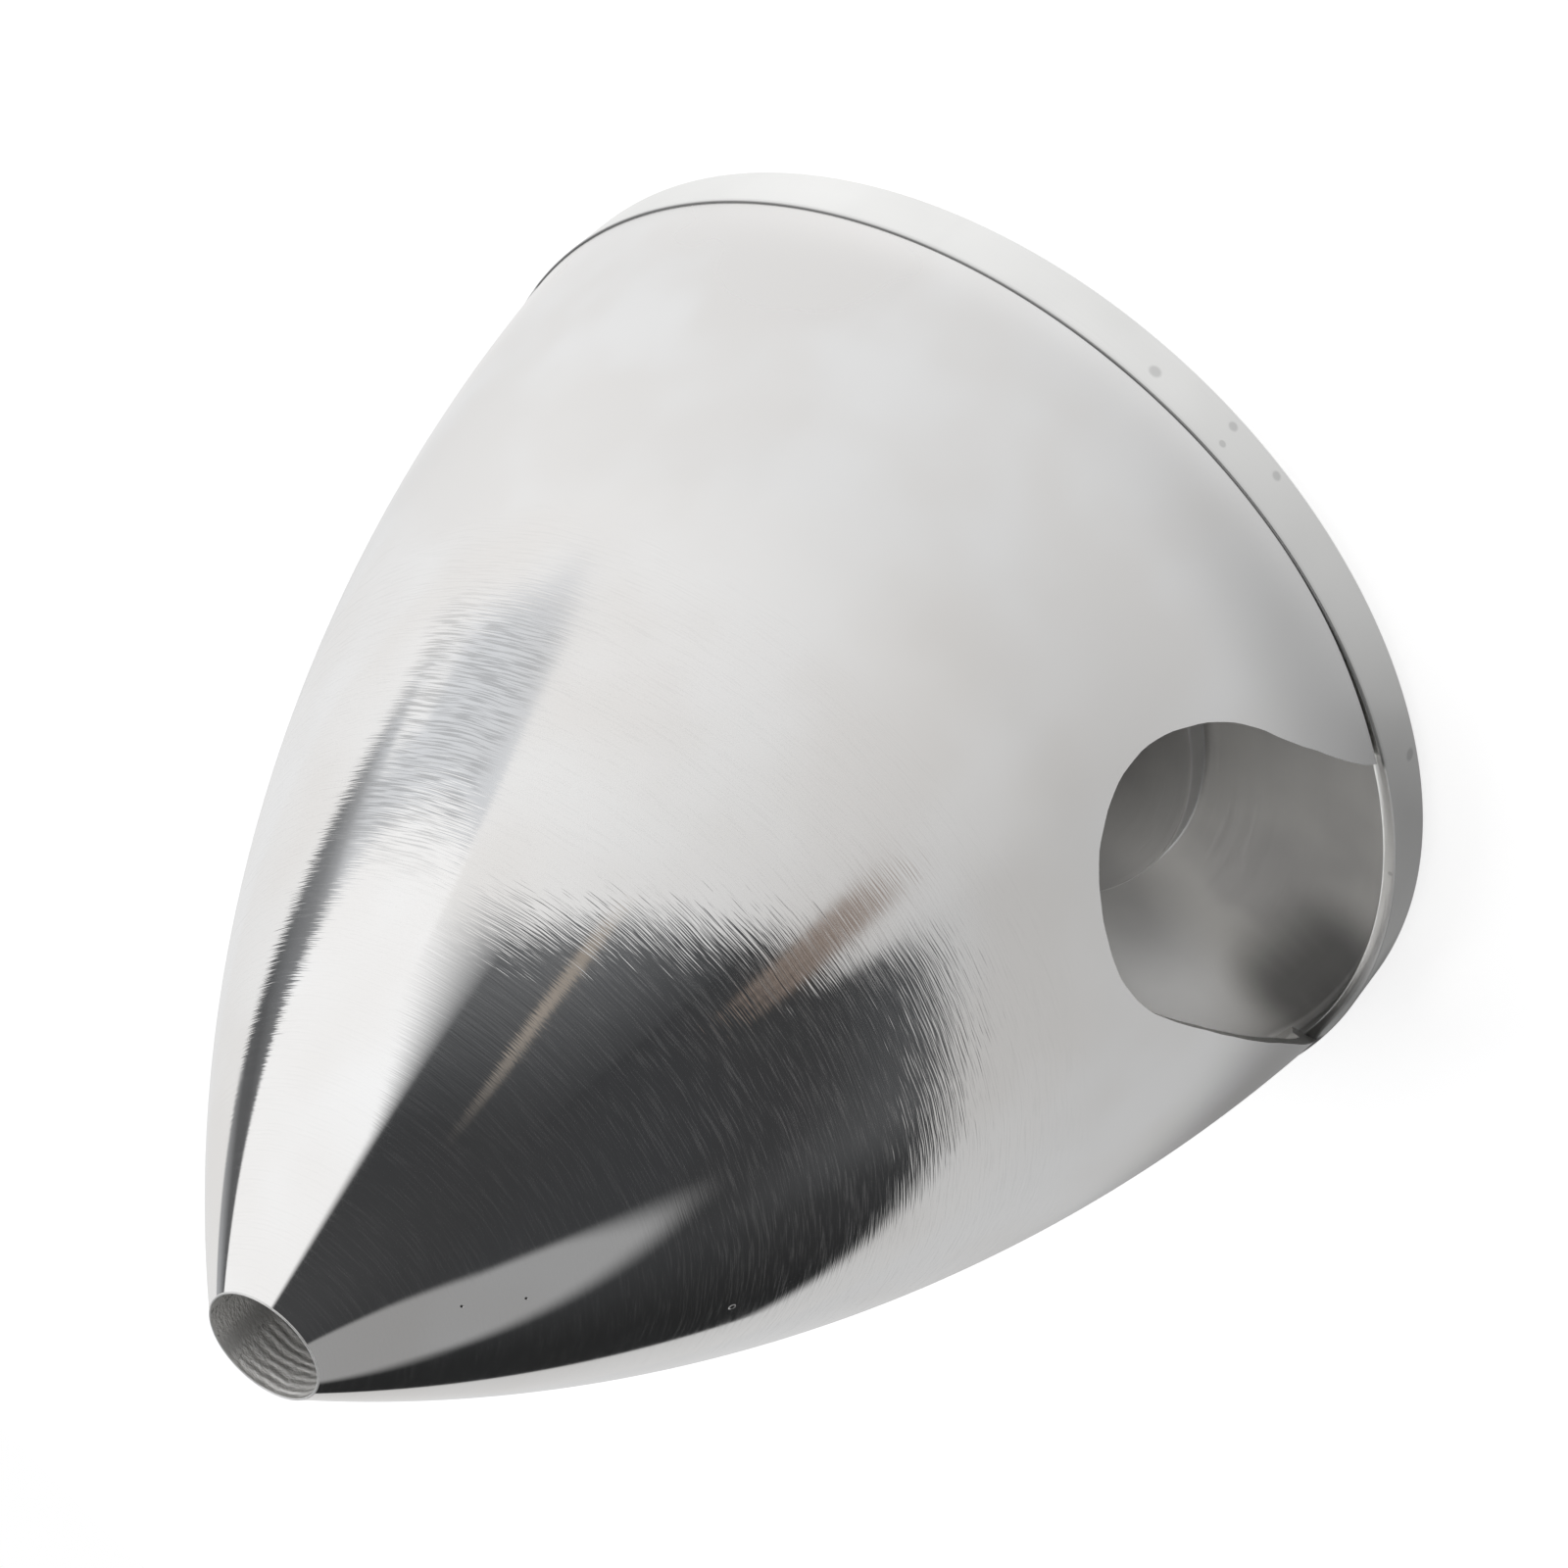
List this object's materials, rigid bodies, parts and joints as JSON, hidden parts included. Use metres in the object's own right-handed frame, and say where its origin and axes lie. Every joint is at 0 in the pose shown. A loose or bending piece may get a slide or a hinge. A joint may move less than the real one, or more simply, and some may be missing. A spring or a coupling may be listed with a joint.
{
  "type": "propeller spinner",
  "caption": "Polished aluminium propeller spinner for a model aircraft: hollow nose cone with pitched blade cut-outs on a turned backplate, held by a screw down the nose.",
  "frame": {"origin": "centre of the backplate's flat rear face, on the propeller's axis", "axes": "+Z along the propeller's axis to the nose; the blades leave along +X and -X"},
  "size_m": [0.0643, 0.0642, 0.0677],
  "materials": {
    "polished_shell": "polished, with fine hairlines round the axis",
    "turned_plate": "satin turned",
    "bush_metal": "satin turned",
    "nut_steel": "satin",
    "screw_steel": "dark",
    "washer_steel": "satin"
  },
  "bodies": {
    "root": {"nose_cone": "polished_shell", "backplate": "turned_plate", "shaft_bush": "bush_metal", "adapter_nut": "nut_steel", "nose_screw": "screw_steel", "seat_washer": "washer_steel"}
  },
  "joints": []
}
